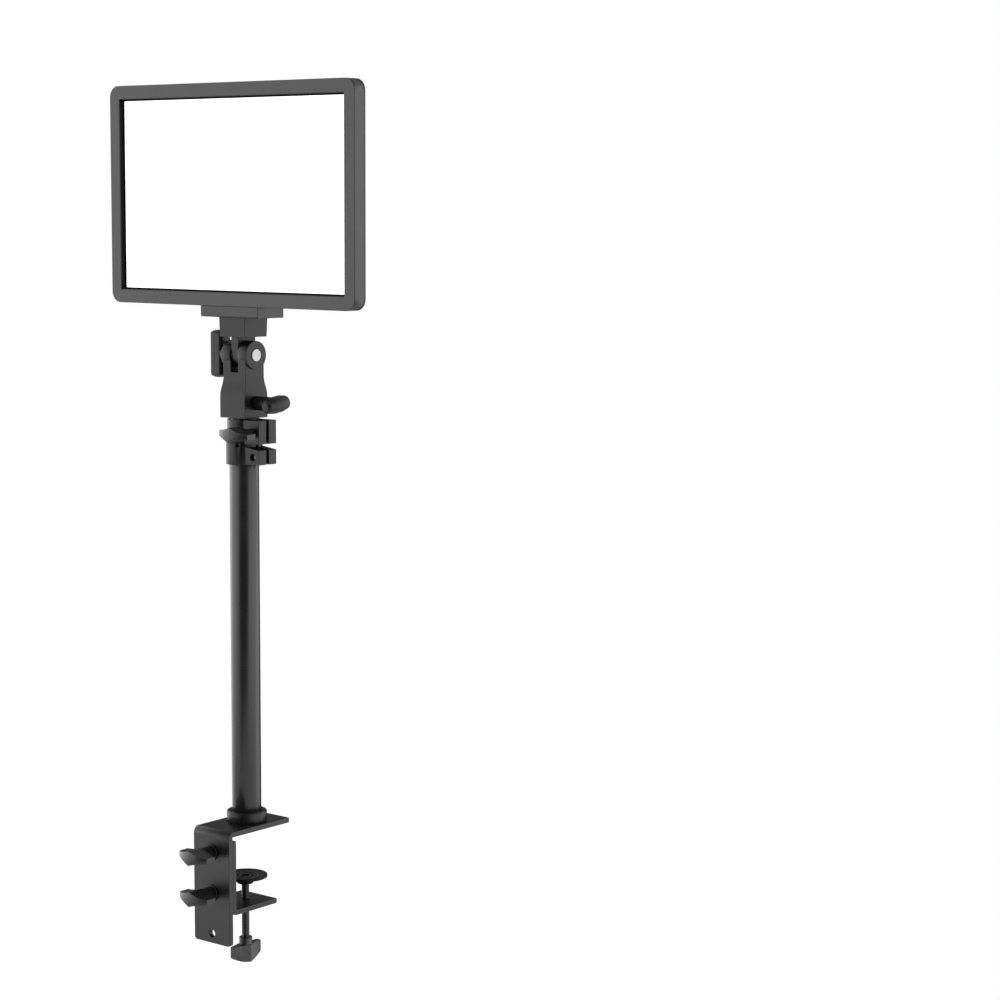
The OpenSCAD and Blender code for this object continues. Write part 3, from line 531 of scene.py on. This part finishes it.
def display():
    """Black border round a lit screen sunk under it, with its figures"""
    size = high("lcd_lens") - low("lcd_lens")
    top = size.y
    base = rear(lens_at.x, low("lcd_lens").y, lens_at.z)
    outer = round_rectangle(size.x, size.z, LENS_CORNER)
    chamfered = round_rectangle(size.x - 2 * LENS_CHAMFER, size.z - 2 * LENS_CHAMFER, LENS_CORNER - 0.1)
    inner = round_rectangle(*SCREEN, SCREEN_CORNER)
    n = len(outer)
    points = []
    for outline, w in ((outer, 0.0), (outer, top - LENS_CHAMFER), (chamfered, top), (inner, top), (inner, 0.0)):
        points += [base @ Vector((u, v, w)) for u, v in outline]
    faces = [(k * n + i, k * n + (i + 1) % n, (k + 1) % 5 * n + (i + 1) % n, (k + 1) % 5 * n + i)
        for k in range(5) for i in range(n)]
    border = piece("lcd_border", points, faces, FINISHES["lens_black"], "light")
    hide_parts("lcd_lens")
    pane = round_rectangle(SCREEN[0] + SCREEN_OVERLAP, SCREEN[1] + SCREEN_OVERLAP, SCREEN_CORNER)
    plate("lcd_screen", pane, base, FINISHES["lcd_glass"], "light", SCREEN_DEPTH)

    def spot(across, up):
        """A point of the screen, from shares of its width and height"""
        return base @ moved(0, 0, SCREEN_DEPTH) @ moved(SCREEN[0] * (across - 0.5), SCREEN[1] * (up - 0.5))

    lettering("lcd_level", "100%", 5.0, 13.5, spot(0.785, 0.80), LCD_INK, THIN_STROKE)
    lettering("lcd_kelvin", "8000K", 5.0, 17.4, spot(0.755, 0.50), LCD_INK, THIN_STROKE)
    lettering("lcd_channel", "CH 00", 5.0, 15.4, spot(0.775, 0.21), LCD_INK, THIN_STROKE)
    for i, letter in enumerate("ABCDEF"):
        lettering("lcd_group_" + letter, letter, 3.6, 2.1, spot(0.09 + i * 0.09, 0.21), LCD_THIN)
    box = spot(0.09, 0.21)
    sides = ((0, 2.3, 4.2, 0.3), (0, -2.3, 4.2, 0.3), (2.1, 0, 0.3, 4.6), (-2.1, 0, 0.3, 4.6))
    for k, (u, v, w, h) in enumerate(sides):
        bar(f"lcd_box_{k}", w, h, box @ moved(u, v), LCD_THIN, "light")
    sun = spot(0.145, 0.80)
    band("lcd_sun", 1.15, 1.5, 0, 360, sun, LCD_THIN, "light", steps=24)
    for k in range(8):
        bar(f"lcd_sun_ray_{k}", 0.6, 0.3, sun @ spun(45 * k) @ moved(2.2, 0), LCD_THIN, "light")
    rings = spot(0.145, 0.50)
    for k in range(3):
        centre = rings @ spun(120 * k + 90) @ moved(0.9, 0)
        band(f"lcd_colour_ring_{k}", *SMALL_RING, 0, 360, centre, LCD_THIN, "light", steps=24)


display()


# ---------- rear of the light: switch and vents ----------

OFF_MARK = (-2.2, 3.8, -1.3)  # out from the rocker's highest point, up from its middle, and tilt in degrees
ON_MARK = (-0.93, -3.6, 17.3)
MARK_HEIGHT, MARK_FOOT = 0.12, -0.6


def switch_marks():
    """The ring and the line moulded into the rocker's two sloping faces"""
    pivot = middle("switch_rocker")
    top = high("switch_rocker").y
    upper, lower = (rear(pivot.x, top + out, pivot.z + up, tilt) for out, up, tilt in (OFF_MARK, ON_MARK))
    band("rocker_off_ring", 1.1, 1.6, 0, 360, upper, PRINT, "rocker", MARK_HEIGHT, MARK_FOOT, steps=28)
    bar("rocker_on_line", 0.5, 3.0, lower, PRINT, "rocker", MARK_HEIGHT)


switch_marks()

# dark sheets just behind the vents: painted shade standing in for the darkness seen through them
SHADE_SHEET_GAP, SHADE_SHEET_THICK = 0.3, 0.2
VENT_NEAR, VENT_FAR = 9.5, 30.5  # a vent's two long sides, from the cover's top or bottom
VENT_OUTER, VENT_INNER = 74, 33  # ends of the vents, from the middle
for name, (x0, x1, z0, z1) in {
    "vent_shade_sheet_top": (-VENT_OUTER, VENT_OUTER, cover_high - VENT_FAR, cover_high - VENT_NEAR),
    "vent_shade_sheet_low_left": (-VENT_OUTER, -VENT_INNER, cover_low + VENT_NEAR, cover_low + VENT_FAR),
    "vent_shade_sheet_low_right": (VENT_INNER, VENT_OUTER, cover_low + VENT_NEAR, cover_low + VENT_FAR),
}.items():
    behind = rear((x0 + x1) / 2, cover_inside - SHADE_SHEET_GAP, (z0 + z1) / 2)
    bar(name, x1 - x0, z1 - z0, behind, VENT_SHADE_FINISH, "light", thick=SHADE_SHEET_THICK)


# ---------- clamp hardware ----------

SPINDLE_PITCH, SPINDLE_DEPTH = 1.27, 0.30
BOLT_ROOT, BOLT_CREST, BOLT_PITCH, BOLT_GAP = 2.96, 3.2, 1.0, 0.3
PAD_DISH, PAD_RINGS, RING_HALF, RING_HEIGHT = 1.2, (4.5, 7.5, 10.5), 0.5, 0.35
CLEAR = 0.02  # keeps a thread off the CAD surface it lies in

screw_low, screw_high = low("clamp_screw"), high("clamp_screw")
screw_mid = middle("clamp_screw")
screw_r = (screw_high.x - screw_low.x) / 2
spindle = thread("clamp_screw_thread", screw_r - SPINDLE_DEPTH, screw_r - CLEAR, SPINDLE_PITCH,
    screw_high.z - screw_low.z, moved(screw_mid.x, screw_mid.y, screw_low.z), "screw")
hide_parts("clamp_screw")

leg_face = low("jaw_bracket").y + PLATE
for bolt in ("upper", "lower"):
    tip = high(bolt + "_wing_bolt").y
    inward = moved(0, tip + CLEAR, middle(bolt + "_wing_bolt").z) @ spun(90, "X")
    length = tip - leg_face - BOLT_GAP
    thread(bolt + "_bolt_thread", BOLT_ROOT, BOLT_CREST, BOLT_PITCH, length, inward, bolt + "_bolt")

pad_at = middle("clamp_pad")
dish = moved(pad_at.x, pad_at.y, high("clamp_pad").z - PAD_DISH)
for k, radius in enumerate(PAD_RINGS):
    band(f"pad_ring_{k}", radius - RING_HALF, radius + RING_HALF, 0, 360, dish, RUBBER, "pad", RING_HEIGHT)


# ---------- stage, light and camera ----------

FLOOR_HALF, FLOOR_DROP = 500, 120
AZIMUTH, ELEVATION, ROLL = map(math.radians, (38.709, 6.676, 0.263))
CAMERA_AT = (1372.73, -1394.96, 487.58)
LENS, SENSOR = 90.67, 36
DARK_AZIMUTH = AZIMUTH - math.radians(11)
SIDE_LIGHT, AXIS_LIGHT, ZENITH_SHARE = 2.35, 0.12, 0.12
SIDES, AXIS = 0.62, 0.92  # nearness to the dark axis where the walls start to dim, and where they are dimmest
LEVEL, STEEP = 0.15, 0.9  # the same for the height over the horizon

ground = cad_box[0].z / MM - FLOOR_DROP
floor_corners = [(sx * FLOOR_HALF, sy * FLOOR_HALF, ground) for sx, sy in CORNERS]
white_sweep = glowing("white_sweep", (1.0, 1.0, 1.0), 1.05, (0.02, 0.02, 0.02))
solid("floor", floor_corners, [(0, 1, 2, 3)], white_sweep)


def photographer():
    """The camera, turned to the side by AZIMUTH, raised by ELEVATION and leaning by ROLL"""
    back = Vector((math.sin(AZIMUTH) * math.cos(ELEVATION), -math.cos(AZIMUTH) * math.cos(ELEVATION),
        math.sin(ELEVATION)))
    level = Vector((math.cos(AZIMUTH), math.sin(AZIMUTH), 0))
    upright = back.cross(level)
    right = math.cos(ROLL) * level + math.sin(ROLL) * upright
    up = math.cos(ROLL) * upright - math.sin(ROLL) * level
    data = bpy.data.cameras.new("camera")
    data.lens = LENS
    data.sensor_width = SENSOR
    data.clip_end = 50
    camera = bpy.data.objects.new("camera", data)
    bpy.context.scene.collection.objects.link(camera)
    camera.matrix_world = Matrix((right, up, back)).transposed().to_4x4()
    camera.location = Vector(CAMERA_AT) * MM
    bpy.context.scene.camera = camera


def studio():
    """A room bright at the sides of the view and dim before, behind and above it; the camera sees it white"""
    world = bpy.data.worlds.new("studio")
    bpy.context.scene.world = world
    world.use_nodes = True
    world.node_tree.nodes.clear()
    room = Graph(world.node_tree)
    direction = room.node("TexCoord").outputs["Generated"]
    depth = room.along(direction, (math.sin(DARK_AZIMUTH), -math.cos(DARK_AZIMUTH), 0))
    ramp = room.between(room.maths("ABSOLUTE", depth), SIDES, AXIS, SIDE_LIGHT, AXIS_LIGHT,
        interpolation_type="SMOOTHSTEP")
    rise = room.node("SeparateXYZ", {0: direction}).outputs["Z"]
    fade = room.between(room.maths("ABSOLUTE", rise), LEVEL, STEEP, 1.0, ZENITH_SHARE)
    white = (1, 1, 1, 1)
    walls = room.node("Background", {"Color": white, "Strength": room.maths("MULTIPLY", ramp, fade)})
    backdrop = room.node("Background", {"Color": white, "Strength": 1.0})
    seen = room.node("LightPath").outputs["Is Camera Ray"]
    chosen = room.node("MixShader", {0: seen, 1: walls.outputs[0], 2: backdrop.outputs[0]})
    room.node("OutputWorld", {0: chosen.outputs[0]})


photographer()
studio()
bpy.context.scene.view_settings.view_transform = "Standard"
